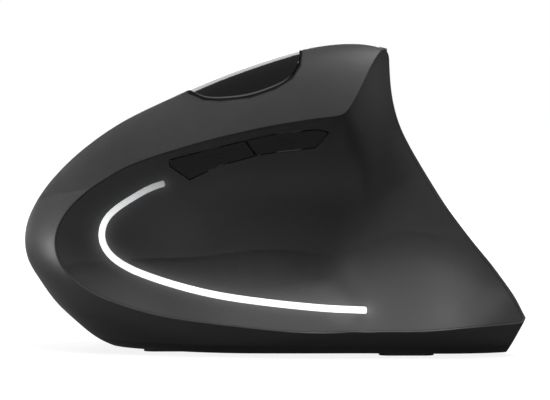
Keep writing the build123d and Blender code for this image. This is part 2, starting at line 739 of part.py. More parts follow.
def make_main_buttons(case, shell):
    """The upper and lower main buttons, each with its switch post."""
    top = BOARD_Y + SNAP_SIZE[1] + SNAP_PROUD + PRESS_GAP
    inner_case = case - beyond_finger(FINGER_WALL / 2)
    for name, upper in (("upper_button", True), ("lower_button", False)):
        side = 1 if upper else -1
        plate = button_cut(shell, upper, BUTTON_GAP, CREST_GAP)
        middle = (SNAP_PLUNGER_X, top / 2, side * SNAP_SPREAD)
        post = block((POST_SIDE, -top, POST_SIDE), middle, FINGER) & inner_case
        keep(name, joined(plate, post))


def make_speed_button(cap):
    """The pointer speed button in the bridge, with its stem."""
    low = BOARD_Y + TACT_HEIGHT + TACT_PROUD + PRESS_GAP
    middle = (SPEED_X, low / 2, 0)
    stem = block((POST_SIDE, -low, POST_SIDE), middle, FINGER)
    stem = stem - beyond_finger(FINGER_WALL / 2)
    keep("speed_button", joined(cap, stem))


def make_thumb_panel(thumb_form):
    """Thumb panel with posts, the light strip and both thumb buttons."""
    slab = (roof(PANEL_LIP) & beyond_thumb(THUMB_WALL)).cut(
        thumb_form, beyond_finger(PANEL_LIP)
    )
    slab = slab & layer(SEAM_Z + SEAT_GAP, TOP_Z)
    reach = WIDTH / 2 + THUMB_BOARD_Y
    skin = beyond_thumb(THUMB_WALL / 2)
    posts = []
    for x, z in THUMB_POST_SPOTS:
        post = rod(THUMB_POST_RADIUS, reach, (x, THUMB_BOARD_Y, z), (0, -1, 0))
        post = post - skin
        hole = rod(SCREW_RADIUS + SCREW_FIT, BOARD_SCREW_LENGTH,
                   (x, THUMB_BOARD_Y, z), (0, -1, 0))
        posts.append(post - hole)
    faces = {
        "front_thumb_button": FRONT_BUTTON_SHARES,
        "rear_thumb_button": REAR_BUTTON_SHARES,
    }
    holes = [across(thumb_button_face(shares, 0)) for shares in faces.values()]
    deep = beyond_thumb(THUMB_BUTTON_DEEP) - thumb_form
    for (name, shares), spot in zip(faces.items(), THUMB_SWITCH_SPOTS):
        key = deep & across(thumb_button_face(shares, -THUMB_BUTTON_GAP))
        keep(name, joined(key, thumb_stem(spot)))
    strip = (beyond_thumb(STRIP_DEEP) - thumb_form) & strip_band(0)
    keep("light_strip", strip)
    panel = slab.cut(strip_band(STRIP_FIT), *holes)
    keep("thumb_panel", joined(panel, *posts))


def thumb_stem(spot):
    """The round stem behind a thumb button."""
    x, z = spot
    start = THUMB_BOARD_Y - TACT_HEIGHT - TACT_PROUD - PRESS_GAP
    stem = rod(THUMB_POST_RADIUS, WIDTH / 2, (x, start, z), (0, -1, 0))
    return stem - beyond_thumb(THUMB_WALL / 2)


def make_light_chips():
    """Lamps pressed against the back of the light strip."""
    back = beyond_thumb(STRIP_DEEP + SEAT_GAP)
    chips = []
    for share in STRIP_CHIP_SHARES:
        x, y, z = strip_spot(share)
        length, thick, height = STRIP_CHIP
        middle = (x, y + STRIP_DEEP + thick, z)
        chips.append(block((length, 2 * thick, height), middle) - back)
    keep("strip_lamps", *chips)


def make_wheel():
    """Scroll wheel: tyre, hub, axle and the encoder's rotor."""
    middle = (0, AXLE_Y, -WHEEL_WIDTH / 2)
    rim = WHEEL_RADIUS - TYRE_THICK
    tyre = rod(WHEEL_RADIUS, WHEEL_WIDTH, middle, frame=FINGER)
    bore = rod(rim + SCREW_FIT, WHEEL_WIDTH, middle, frame=FINGER)
    grooves = []
    for step in range(GROOVE_COUNT):
        turn = 2 * math.pi * step / GROOVE_COUNT
        x = WHEEL_RADIUS * math.cos(turn)
        y = AXLE_Y + WHEEL_RADIUS * math.sin(turn)
        spot = (x, y, -WHEEL_WIDTH / 2)
        grooves.append(rod(GROOVE_RADIUS, WHEEL_WIDTH, spot, frame=FINGER))
    keep("wheel_tyre", tyre.cut(bore, *grooves))
    hub = rod(rim, WHEEL_WIDTH, middle, frame=FINGER)
    holes = [rod(AXLE_RADIUS + SCREW_FIT, WHEEL_WIDTH, middle, frame=FINGER)]
    orbit = (rim + AXLE_RADIUS) / 2
    for step in range(HUB_HOLE_COUNT):
        turn = 2 * math.pi * step / HUB_HOLE_COUNT
        spot = (orbit * math.cos(turn), AXLE_Y + orbit * math.sin(turn), middle[2])
        holes.append(rod(HUB_HOLE_RADIUS, WHEEL_WIDTH, spot, frame=FINGER))
    keep("wheel_hub", hub.cut(*holes))
    start = -CARRIER_HALF - CARRIER_WALL
    inside = CARRIER_HALF + CARRIER_WALL
    length = inside + ROTOR_LENGTH - start
    keep("wheel_axle", rod(AXLE_RADIUS, length, (0, AXLE_Y, start), frame=FINGER))
    spot = (0, AXLE_Y, inside + AXLE_FIT)
    rotor = rod(ROTOR_RADIUS, ROTOR_LENGTH, spot, frame=FINGER)
    bore = rod(AXLE_RADIUS + SCREW_FIT, ROTOR_LENGTH, spot, frame=FINGER)
    keep("encoder_rotor", rotor - bore)


def make_carrier():
    """The frame that carries the wheel and the encoder's housing."""
    outer = CARRIER_HALF + CARRIER_WALL
    end = CARRIER_END + CARRIER_WALL
    high = AXLE_Y + CARRIER_EAR - CARRIER_FOOT_Y
    frame = block((2 * end, CARRIER_RAIL, 2 * outer),
                  (0, CARRIER_FOOT_Y + CARRIER_RAIL / 2, 0), FINGER)
    ears = block((4 * AXLE_RADIUS, high, 2 * outer),
                 (0, CARRIER_FOOT_Y + high / 2, 0), FINGER)
    inside = block((2 * CARRIER_END, 2 * high, 2 * CARRIER_HALF),
                   (0, CARRIER_FOOT_Y + high / 2, 0), FINGER)
    bore = rod(AXLE_RADIUS + AXLE_FIT, 2 * outer, (0, AXLE_Y, -outer), frame=FINGER)
    low = BOARD_Y + TACT_HEIGHT + TACT_PROUD + PRESS_GAP
    reach = MIDDLE_SWITCH_X + TACT_PLUNGER_RADIUS - CARRIER_END
    arm = block((reach, CARRIER_ARM, 2 * TACT_PLUNGER_RADIUS),
                (CARRIER_END + reach / 2, low + CARRIER_ARM / 2, 0), FINGER)
    keep("wheel_carrier", joined((frame + ears).cut(inside, bore), arm))
    housing = block(ENCODER_SIZE, (0, AXLE_Y, outer + ENCODER_SIZE[2] / 2), FINGER)
    hollow = rod(ROTOR_RADIUS + AXLE_FIT, ROTOR_LENGTH + 2 * AXLE_FIT,
                 (0, AXLE_Y, outer), frame=FINGER)
    keep("encoder_housing", housing - hollow)


def make_finger_board(clear):
    """Board behind the finger face, with the switches that stand on it."""
    y = BOARD_Y - BOARD_THICK / 2
    front, step, rear = FINGER_BOARD_FRONT, FINGER_BOARD_STEP_X, FINGER_BOARD_REAR
    wide = block((front + step, BOARD_THICK, 2 * FINGER_BOARD_HALF),
                 ((step - front) / 2, y, 0), FINGER)
    narrow = block((front + rear, BOARD_THICK, 2 * FINGER_BOARD_NARROW),
                   ((rear - front) / 2, y, 0), FINGER)
    slot = block((2 * CARRIER_END, 4 * BOARD_THICK, 2 * CARRIER_HALF), (0, y, 0), FINGER)
    keep("finger_board", (joined(wide, narrow) - slot) & clear)
    for name, z in (("upper", SNAP_SPREAD), ("lower", -SNAP_SPREAD)):
        keep(name + "_switch", snap_body(z))
        keep(name + "_plunger", snap_plunger(z))
    for name, x in (("middle", MIDDLE_SWITCH_X), ("speed", SPEED_X)):
        keep(name + "_switch", tact_body(FINGER, x, BOARD_Y, 0))
        keep(name + "_plunger", tact_plunger(FINGER, x, BOARD_Y, 0))
    behind = block((4 * LENGTH, 4 * WIDTH, 4 * HEIGHT),
                   (0, BOARD_Y - BOARD_THICK - 2 * WIDTH, 0), FINGER)
    columns = []
    for x, y in COLUMN_SPOTS:
        column = block((COLUMN_SIDE, COLUMN_SIDE, HEIGHT), (x, y, SEAM_Z + HEIGHT / 2))
        columns.append(column & behind & clear)
    keep("board_columns", *columns)


def make_thumb_board():
    """Upright board behind the thumb buttons, with its switches."""
    frame = Plane((0, THUMB_BOARD_Y, 0), x_dir=(-1, 0, 0), z_dir=(0, 0, 1)).location
    length = THUMB_BOARD_REAR_X - THUMB_BOARD_FRONT_X
    height = THUMB_BOARD_HIGH_Z - THUMB_BOARD_LOW_Z
    middle_x = (THUMB_BOARD_REAR_X + THUMB_BOARD_FRONT_X) / 2
    middle_z = (THUMB_BOARD_HIGH_Z + THUMB_BOARD_LOW_Z) / 2
    board = block((length, BOARD_THICK, height),
                  (middle_x, THUMB_BOARD_Y + BOARD_THICK / 2, middle_z))
    holes, screws = [], []
    for x, z in THUMB_POST_SPOTS:
        start = THUMB_BOARD_Y + BOARD_THICK + HEAD_THICK
        holes.append(rod(SCREW_RADIUS + SCREW_FIT, 2 * BOARD_THICK,
                         (x, THUMB_BOARD_Y - SEAT_GAP, z), (0, 1, 0)))
        screws.append(screw(BOARD_SCREW_LENGTH, (x, start, z), (0, -1, 0)))
    keep("thumb_board", board.cut(*holes))
    keep("thumb_board_screws", *screws)
    for name, (x, z) in zip(("front_thumb", "rear_thumb"), THUMB_SWITCH_SPOTS):
        keep(name + "_switch", tact_body(frame, -x, 0, z))
        keep(name + "_plunger", tact_plunger(frame, -x, 0, z))


def make_base(case, clear):
    """Base plate with its bay, stands and openings, and the battery door."""
    plate = case & layer(BASE_Z, SEAM_Z)
    wall = 2 * BAY_WALL
    bay = block((BAY_LENGTH + wall, BAY_WIDTH + wall, BAY_END_HEIGHT),
                (*BAY_MIDDLE, SEAM_Z + BAY_END_HEIGHT / 2))
    room = block((BAY_LENGTH, BAY_WIDTH, 3 * BAY_END_HEIGHT), (*BAY_MIDDLE, SEAM_Z))
    low = block((BAY_LENGTH, BAY_WIDTH + 2 * wall, BAY_END_HEIGHT),
                (*BAY_MIDDLE, SEAM_Z + BAY_WALL_HEIGHT + BAY_END_HEIGHT / 2))
    grown = [side + 2 * RECEIVER_GAP for side in RECEIVER_CAP]
    plug = [side + 2 * RECEIVER_GAP for side in RECEIVER_PLUG]
    cap_top = BASE_Z + grown[2]
    plug_top = cap_top + RECEIVER_PLUG[2]
    house_height = plug_top + BAY_WALL - SEAM_Z
    house = block((grown[0] + wall, grown[1] + wall, house_height),
                  (RECEIVER_X, RECEIVER_Y, SEAM_Z + house_height / 2))
    cap_room = block((grown[0], grown[1], 2 * grown[2]), (RECEIVER_X, RECEIVER_Y, BASE_Z))
    plug_room = block((plug[0], plug[1], 2 * (plug_top - BASE_Z)),
                      (RECEIVER_X, RECEIVER_Y, BASE_Z))
    stands = [rod(STANDOFF_RADIUS, STANDOFF_HEIGHT, (*spot, SEAM_Z))
              for spot in MAIN_SCREW_SPOTS]
    added = [piece & clear for piece in (bay, house, *stands)]
    window = block((*SENSOR_WINDOW, 4 * BASE_THICK), (SENSOR_X, SENSOR_Y, BASE_Z))
    slot = capsule(POWER_KNOB[0] + POWER_TRAVEL + 2 * FIT_GAP, POWER_KNOB[1] + 2 * FIT_GAP,
                   2 * BASE_THICK, (POWER_X, POWER_Y, 0))
    cuts = [room, low, cap_room, plug_room, window, slot]
    for x, y in BOSS_SPOTS:
        cuts.append(rod(SCREW_RADIUS + SCREW_FIT, 2 * BASE_THICK, (x, y, BASE_Z)))
        cuts.append(rod(HEAD_RADIUS + FIT_GAP / 2, HEAD_THICK + SEAT_GAP, (x, y, BASE_Z)))
    for x, y in MAIN_SCREW_SPOTS:
        start = (x, y, MAIN_BOARD_Z)
        cuts.append(rod(SCREW_RADIUS + SCREW_FIT, BOARD_SCREW_LENGTH, start, (0, 0, -1)))
    for x, y in FOOT_SPOTS:
        cuts.append(capsule(FOOT_LENGTH + 2 * FOOT_GAP, FOOT_WIDTH + 2 * FOOT_GAP,
                            FOOT_RECESS, (x, y, BASE_Z)))
    keep("base_plate", joined(plate, *added).cut(*cuts))


def make_battery_door():
    """The lid of the battery bay, with a hollow for a fingertip."""
    length = BAY_LENGTH - 2 * DOOR_GAP
    width = BAY_WIDTH - 2 * DOOR_GAP
    lid = block((length, width, DOOR_THICK), (*BAY_MIDDLE, BASE_Z + DOOR_THICK / 2))
    grip_x = BAY_REAR_X - 2 * DOOR_GRIP_RADIUS
    start = (grip_x, BAY_MIDDLE[1], BASE_Z - DOOR_THICK / 2)
    keep("battery_door", lid - rod(DOOR_GRIP_RADIUS, DOOR_THICK, start))


def make_batteries():
    """Two cells side by side, one turned round, and their contacts."""
    keep("battery_one", battery(BATTERY_YS[0], True))
    keep("battery_two", battery(BATTERY_YS[1], False))
    springs, plates = [], []
    for y, side in zip(BATTERY_YS, (-1, 1)):
        minus_wall = BAY_MIDDLE[0] + side * BAY_LENGTH / 2
        plus_wall = BAY_MIDDLE[0] - side * BAY_LENGTH / 2
        size = (CONTACT_THICK, 2 * BATTERY_RADIUS - BATTERY_GAP, 2 * BATTERY_RADIUS - BATTERY_GAP)
        springs.append(coil_contact(minus_wall, y, side))
        room = (BAY_LENGTH - BATTERY_LENGTH) / 2 - CONTACT_THICK - SEAT_GAP
        middle = plus_wall + side * CONTACT_THICK / 2
        plate = block(size, (middle, y, BATTERY_Z))
        dimple = rod(NUB_RADIUS, room, (middle, y, BATTERY_Z), (side, 0, 0))
        plates.append(joined(plate, dimple))
    keep("spring_contacts", *springs)
    keep("plate_contacts", *plates)


def coil_contact(wall_x, y, side):
    """A contact plate on the bay's wall with a short coil on it."""
    size = (CONTACT_THICK, 2 * BATTERY_RADIUS - BATTERY_GAP, 2 * BATTERY_RADIUS - BATTERY_GAP)
    plate = block(size, (wall_x - side * CONTACT_THICK / 2, y, BATTERY_Z))
    room = (BAY_LENGTH - BATTERY_LENGTH) / 2 - CONTACT_THICK - SEAT_GAP
    height = room - SPRING_WIRE
    coil = Wire([Edge.make_helix(height / SPRING_TURN_COUNT, height, SPRING_RADIUS)])
    ring = Wire.make_circle(SPRING_WIRE, Plane(coil @ 0, z_dir=coil % 0))
    wire = Solid.sweep(Face(ring), coil)
    start = Plane((wall_x - side * CONTACT_THICK, y, BATTERY_Z), z_dir=(-side, 0, 0))
    return joined(plate, wire.moved(start.location))


def make_main_board(clear):
    """Main board with sensor, lens, controller and plugs."""
    z = MAIN_BOARD_Z
    low, high = MAIN_BOARD_LOW, MAIN_BOARD_HIGH
    board = span((*low, z), (*high, z + BOARD_THICK)) & clear
    sight = rod(LENS_RADIUS + FIT_GAP, 4 * BOARD_THICK, (SENSOR_X, SENSOR_Y, z - BOARD_THICK))
    holes = [sight]
    screws = []
    for x, y in MAIN_SCREW_SPOTS:
        start = (x, y, z + BOARD_THICK + HEAD_THICK)
        holes.append(rod(SCREW_RADIUS + SCREW_FIT, 4 * BOARD_THICK, (x, y, z - BOARD_THICK)))
        screws.append(screw(BOARD_SCREW_LENGTH, start, (0, 0, -1)))
    for x, y in COLUMN_SPOTS:
        side = COLUMN_SIDE + 2 * FIT_GAP
        holes.append(block((side, side, 4 * BOARD_THICK), (x, y, z)))
    keep("main_board", board.cut(*holes))
    keep("main_board_screws", *screws)
    foot = z - SEAM_Z - SEAT_GAP
    lens = block((*LENS_SIZE, foot), (SENSOR_X, SENSOR_Y, SEAM_Z + foot / 2))
    dome = rod(LENS_RADIUS, foot + BOARD_THICK, (SENSOR_X, SENSOR_Y, SEAM_Z))
    keep("sensor_lens", joined(lens, dome))
    top = z + BOARD_THICK
    keep("sensor_chip", block(CHIP_SIZE, (SENSOR_X, SENSOR_Y, top + CHIP_SIZE[2] / 2)))
    x = MAIN_BOARD_HIGH[0] - CONTROLLER_SIZE[0] / 2 - BOARD_RIM
    y = SENSOR_Y - CONTROLLER_SIZE[1] / 2
    keep("controller_chip", block(CONTROLLER_SIZE, (x, y, top + CONTROLLER_SIZE[2] / 2)))
    y = y + CONTROLLER_SIZE[1]
    keep("clock_crystal", block(CRYSTAL_SIZE, (x, y, top + CRYSTAL_SIZE[2] / 2)))
    y = MAIN_BOARD_HIGH[1] - PLUG_SIZE[1] / 2 - BOARD_RIM
    keep("board_plug", block(PLUG_SIZE, (SENSOR_X, y, top + PLUG_SIZE[2] / 2)))


def make_power_switch():
    """Slide switch under the main board, and its knob in the base."""
    height = POWER_BODY[2]
    body = block(POWER_BODY, (POWER_X, POWER_Y, MAIN_BOARD_Z - height / 2))
    low_z = MAIN_BOARD_Z - height
    travel = POWER_TRAVEL + POWER_LEVER + 2 * POWER_CLEAR
    sunk = height / 2
    slot = block((travel, POWER_LEVER + 2 * POWER_CLEAR, 2 * sunk),
                 (POWER_X, POWER_Y, low_z))
    keep("power_switch", body - slot)
    start_x = POWER_X - POWER_TRAVEL / 2
    flange_z = SEAM_Z + POWER_CLEAR / 2
    flange = block(POWER_FLANGE, (start_x, POWER_Y, flange_z + POWER_FLANGE[2] / 2))
    knob_low = BASE_Z + POWER_CLEAR
    knob = capsule(*POWER_KNOB, flange_z - knob_low, (start_x, POWER_Y, knob_low))
    top = low_z + sunk - POWER_CLEAR
    lever = block((POWER_LEVER, POWER_LEVER, top - flange_z),
                  (start_x, POWER_Y, (top + flange_z) / 2))
    keep("power_slider", joined(flange, knob, lever))


def make_receiver():
    """Radio receiver stored plug first in the base."""
    middle_z = BASE_Z + RECEIVER_CAP[2] / 2
    cap = block(RECEIVER_CAP, (RECEIVER_X, RECEIVER_Y, middle_z))
    keep("receiver_cap", cap)
    length, width, height = RECEIVER_PLUG
    start_z = BASE_Z + RECEIVER_CAP[2]
    plug = block(RECEIVER_PLUG, (RECEIVER_X, RECEIVER_Y, start_z + height / 2))
    wall = RECEIVER_GAP
    room = block((length - 2 * wall, width / 2 - wall, height),
                 (RECEIVER_X, RECEIVER_Y + width / 4 - wall / 2, start_z + height / 2 + wall))
    keep("receiver_plug", plug - room)


def make_feet_and_screws():
    """Glide feet on the base and the screws that close the casing."""
    feet = []
    for x, y in FOOT_SPOTS:
        feet.append(capsule(FOOT_LENGTH, FOOT_WIDTH, FOOT_THICK, (x, y, 0)))
    keep("glide_feet", *feet)
    screws = [screw(SCREW_LENGTH, (x, y, BASE_Z + SEAT_GAP)) for x, y in BOSS_SPOTS]
    keep("case_screws", *screws)


def main():
    """Make every piece and write one file for each."""
    os.makedirs("parts", exist_ok=True)
    case = make_casing()
    clear = free_space(BOARD_CLEAR)
    make_light_chips()
    make_wheel()
    make_carrier()
    make_finger_board(clear)
    make_thumb_board()
    make_base(case, clear)
    make_battery_door()
    make_batteries()
    make_main_board(clear)
    make_power_switch()
    make_receiver()
    make_feet_and_screws()
    for name, shape in PARTS.items():
        export_step(shape, f"parts/{name}.step")


main()
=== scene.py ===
import json
import math

import bmesh
import bpy
from bpy.props import FloatProperty, FloatVectorProperty, PointerProperty
from bpy.types import Operator, Panel, PropertyGroup
from mathutils import Matrix, Vector
from mathutils.bvhtree import BVHTree


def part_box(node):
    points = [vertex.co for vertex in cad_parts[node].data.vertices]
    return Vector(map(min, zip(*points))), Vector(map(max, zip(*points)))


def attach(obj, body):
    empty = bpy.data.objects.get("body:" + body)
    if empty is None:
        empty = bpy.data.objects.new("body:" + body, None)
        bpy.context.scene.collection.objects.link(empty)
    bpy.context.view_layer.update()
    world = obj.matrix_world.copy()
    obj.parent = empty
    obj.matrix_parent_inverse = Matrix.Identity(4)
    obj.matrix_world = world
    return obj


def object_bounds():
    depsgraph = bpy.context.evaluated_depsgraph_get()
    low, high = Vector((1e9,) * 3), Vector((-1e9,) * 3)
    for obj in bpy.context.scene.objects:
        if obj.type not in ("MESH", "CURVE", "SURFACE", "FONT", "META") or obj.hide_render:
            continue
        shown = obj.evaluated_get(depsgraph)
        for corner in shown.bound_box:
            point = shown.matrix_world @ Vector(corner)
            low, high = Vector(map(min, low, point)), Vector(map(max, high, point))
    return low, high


bl_info = {
    "name": "Upright Mouse",
    "version": (1, 0, 0),
    "blender": (4, 5, 0),
    "location": "3D View > Sidebar > Mouse",
    "description": "Finishes, prints and studio for an upright mouse",
    "category": "Object",
}

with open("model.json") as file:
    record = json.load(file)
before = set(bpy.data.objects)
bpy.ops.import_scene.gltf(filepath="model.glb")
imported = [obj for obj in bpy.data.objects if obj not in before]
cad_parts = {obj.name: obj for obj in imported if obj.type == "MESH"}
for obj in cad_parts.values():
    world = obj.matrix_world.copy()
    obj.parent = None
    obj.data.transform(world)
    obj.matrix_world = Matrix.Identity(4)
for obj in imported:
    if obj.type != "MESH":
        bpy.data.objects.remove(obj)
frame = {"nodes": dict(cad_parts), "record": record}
CAD_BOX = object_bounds()
LENGTH = CAD_BOX[1].x - CAD_BOX[0].x
WIDTH = CAD_BOX[1].y - CAD_BOX[0].y
HEIGHT = CAD_BOX[1].z - CAD_BOX[0].z
SLOT_OF = {part["node"]: part["material_slot"] for part in frame["record"]["subparts"]}
NODE_BODY = {
    node: body
    for body, nodes in frame["record"]["behaviour"]["bodies"].items()
    for node in nodes
}

# Middle line of the light strip seen from the thumb side, as (x share of
# LENGTH, z share of HEIGHT), from its upper end
STRIP_SHARES = [
    (-0.213, 0.542), (-0.250, 0.520), (-0.278, 0.494), (-0.314, 0.454),
    (-0.332, 0.420), (-0.339, 0.375), (-0.334, 0.340), (-0.316, 0.303),
    (-0.281, 0.268), (-0.239, 0.242), (-0.183, 0.216), (-0.119, 0.193),
    (-0.050, 0.176), (0.010, 0.165), (0.095, 0.153), (0.188, 0.146),
]

# Heights between which the strip and its glow on the panel dim towards the
# strip's upper end, and the level that is left there
STRIP_DIMS = (0.041, 0.029, 0.10)
GLOW_DIMS = (0.036, 0.026, 0.35)

# Curved edge of the crest insert seen from above, as (x share of LENGTH,
# y share of WIDTH), from its front tip, and the height over which it counts
INSERT_SHARES = [
    (-0.174, 0.080), (-0.171, 0.036), (-0.160, -0.016), (-0.133, -0.069),
    (-0.100, -0.095), (-0.042, -0.116), (0.008, -0.114), (0.040, -0.098),
    (0.055, -0.066), (0.059, 0.036), (0.060, 0.080),
]
CREST_SHARE = 0.6

# Arrows on the thumb buttons: x share of LENGTH, z share of HEIGHT, and the
# way they point along X; then their rise, their half height and their line,
# as shares of their length
ARROW_SHARES = {
    "front_thumb_button": (-0.105, 0.634, -1),
    "rear_thumb_button": (0.034, 0.676, 1),
}
ARROW_RISE_SHARE = 0.04
ARROW_HALF_SHARE = 0.19
ARROW_LINES = 26

# Words beside the power knob: their distance from it as a share of its
# length, that of ON as a share of that of OFF, and the knob's travel
WORD_SHARE = 0.62
ON_SHARE = 0.8
KNOB_TRAVEL = 0.0024

# Arrow on the battery door: how far it lies from the door's end as a share
# of the door's length, and its radius as a share of the door's width
DOOR_ARROW_SHARES = (0.29, 0.12)

# Metal end and printed band of a cell: where they start, as shares of half
# its length from its middle
CELL_CAP_SHARE = 0.93
CELL_BAND_SHARE = 0.62

# Finishes of moulded plastic by material slot: name, colour, roughness
MOULDED = {
    "hub_grey": ("Hub plastic", (0.11, 0.11, 0.12), 0.35),
    "inner_black": ("Inner plastic", (0.03, 0.03, 0.032), 0.5),
    "white_plastic": ("White plastic", (0.72, 0.72, 0.70), 0.4),
    "switch_black": ("Switch body", (0.028, 0.028, 0.03), 0.4),
    "switch_button": ("Switch plunger", (0.45, 0.05, 0.035), 0.35),
    "chip_black": ("Chip resin", (0.014, 0.014, 0.015), 0.55),
}

# Finishes of drawn metal by material slot: name, colour, roughness and how
# often the streaks change along each axis
METALS = {
    "screw_zinc": ("Zinc screw", (0.48, 0.48, 0.50), 0.35, (1.0, 6.0, 1.0)),
    "tact_steel": ("Stamped steel", (0.5, 0.5, 0.52), 0.3, (1.0, 1.0, 18.0)),
    "steel": ("Bright steel", (0.62, 0.62, 0.64), 0.24, (1.0, 1.0, 18.0)),
    "contact_metal": ("Nickel contact", (0.72, 0.68, 0.58), 0.2, (1.0, 1.0, 18.0)),
}

# The photograph: pixels across, pixels to a metre at the mouse, how far it
# is shifted, in pixels, how far it looks down, in degrees, and the point in
# its middle
PHOTO_ACROSS = 550
PHOTO_SCALE = 4107
PHOTO_SHIFT = (4.0, 2.9)
PHOTO_TILT = 2.5
LOOK_AT = (0, 0, 0.035)
FILM = 36

# Softboxes: place, width and depth, power, the point that they face, and
# their spread in degrees
LAMPS = {
    "Back softbox": ((0.02, 0.80, 0.22), (0.4, 0.36), 3.6, LOOK_AT, 180),
    "Top softbox": ((0.0, 0.04, 0.85), (0.5, 0.4), 6.0, LOOK_AT, 180),
    "Nose softbox": ((-0.68, -0.17, 0.12), (0.05, 0.05), 0.006,
                     (-0.46 * LENGTH, -0.1 * WIDTH, 0.54 * HEIGHT), 4.5),
    "Wing softbox": ((0.13, 0.05, 0.80), (0.10, 0.10), 1.7, LOOK_AT, 180),
    "Crest softbox": ((-0.10, 0.44, 0.38), (0.5, 0.34), 1.0, (-0.03, 0, 0.07), 180),
}

# Sky: steepness of the rays between which it fades, its levels there, and
# its share of the light on the mouse; then the level of the floor in gloss,
# and the distances and levels between which it fades to white
SKY_FADE = (0.04, 0.25, 1.0, 0.10)
SKY_LIGHT = 0.36
FLOOR_GLOSS = 0.12
FLOOR_FADE = (0.08, 0.45, 0.88, 1.0)


# ---- Properties


class MouseColours(PropertyGroup):
    """Colours of the outer finishes."""

    shell: FloatVectorProperty(
        name="Shell", description="Soft-touch hood and main buttons",
        subtype="COLOR", min=0, max=1, default=(0.052, 0.052, 0.053))
    # The thumb panel has the shell's lacquer in a darker colour: painted shade for the side
    # that the lamps light less
    thumb: FloatVectorProperty(
        name="Thumb panel", description="Soft-touch panel under the thumb",
        subtype="COLOR", min=0, max=1, default=(0.044, 0.044, 0.045))
    base: FloatVectorProperty(
        name="Base", description="Base plate and battery door",
        subtype="COLOR", min=0, max=1, default=(0.020, 0.020, 0.021))
    gloss: FloatVectorProperty(
        name="Gloss", description="Insert in the crest and speed button",
        subtype="COLOR", min=0, max=1, default=(0.003, 0.003, 0.0032))
    keys: FloatVectorProperty(
        name="Thumb buttons", description="Satin thumb buttons",
        subtype="COLOR", min=0, max=1, default=(0.009, 0.009, 0.0095))
    light: FloatVectorProperty(
        name="Light", description="Light of the strip",
        subtype="COLOR", min=0, max=1, default=(0.97, 0.985, 1.0))
    floor: FloatVectorProperty(
        name="Floor", description="Studio floor",
        subtype="COLOR", min=0, max=1, default=(0.12, 0.12, 0.12))


class MouseSizes(PropertyGroup):
    """Sizes of grain, prints, glow and studio."""

    grain: FloatProperty(
        name="Grain", description="Size of the soft-touch grain",
        unit="LENGTH", min=0.00005, max=0.002, default=0.00042)
    grain_depth: FloatProperty(
        name="Grain depth", description="Height of the soft-touch grain",
        unit="LENGTH", min=0, max=0.0002, default=0.000012)
    edge: FloatProperty(
        name="Edge", description="Rounding that moulded edges show",
        unit="LENGTH", min=0, max=0.001, default=0.00022)
    glow_reach: FloatProperty(
        name="Glow reach", description="How far the strip's glow falls on the panel",
        unit="LENGTH", min=0.0001, max=0.01, default=0.0012)
    glow: FloatProperty(
        name="Glow", description="Strength of the glow beside the strip",
        min=0, max=2, default=0.060)
    strip_half: FloatProperty(
        name="Strip half width", description="Half the width of the light strip",
        unit="LENGTH", min=0.0001, max=0.005, default=0.00075)
    strip_light: FloatProperty(
        name="Strip light", description="Strength of the lit strip",
        min=0, max=10, default=0.9)
    # The band round the crest insert is a near-black colour painted on the shell: painted
    # shade, with no cut in the hood
    painted_groove_shade: FloatProperty(
        name="Groove", description="Width of the dark groove round the crest insert",
        unit="LENGTH", min=0.0001, max=0.002, default=0.00080)
    arrow_length: FloatProperty(
        name="Arrow length", description="Length of the marks on the thumb buttons",
        unit="LENGTH", min=0.001, max=0.01, default=0.0040)
    print_thick: FloatProperty(
        name="Print thickness", description="How far printed marks stand proud",
        unit="LENGTH", min=0.00001, max=0.0001, default=0.00003)
    letter: FloatProperty(
        name="Letter height", description="Height of the words on the underside",
        unit="LENGTH", min=0.0005, max=0.01, default=0.0024)
    camera_far: FloatProperty(
        name="Camera distance", description="From the camera to the mouse",
        unit="LENGTH", min=0.2, max=3, default=0.75)
    studio: FloatProperty(
        name="Studio", description="Half the width of the floor",
        unit="LENGTH", min=0.3, max=10, default=3.0)


# ---- Node helpers


class Nodes:
    """A node tree under construction, with short ways to add its nodes."""

    def __init__(self, tree, place):
        self.tree = tree
        self.place = self.node("TexCoord").outputs[place]

    def node(self, kind, **settings):
        made = self.tree.nodes.new("ShaderNode" + kind)
        for label, value in settings.items():
            setattr(made, label, value)
        return made

    def link(self, source, target):
        self.tree.links.new(source, target)

    def feed(self, node, *values):
        """Give a node's inputs in order: sockets are linked, the rest set."""
        for socket, value in zip(node.inputs, values):
            if isinstance(value, bpy.types.NodeSocket):
                self.link(value, socket)
            else:
                socket.default_value = value
        return node

    def math(self, operation, *values, clamp=False):
        made = self.node("Math", operation=operation, use_clamp=clamp)
        return self.feed(made, *values).outputs[0]

    def vector(self, operation, *values):
        made = self.feed(self.node("VectorMath", operation=operation), *values)
        return made.outputs["Value" if operation in ("LENGTH", "DOT_PRODUCT") else "Vector"]

    def axis(self, label, source=None):
        """One axis of the coordinates, or of another vector."""
        split = self.node("SeparateXYZ")
        self.link(source or self.place, split.inputs[0])
        return split.outputs[label]

    def between(self, value, low, high, out_low=0.0, out_high=1.0, **settings):
        made = self.node("MapRange", **settings)
        return self.feed(made, value, low, high, out_low, out_high).outputs["Result"]


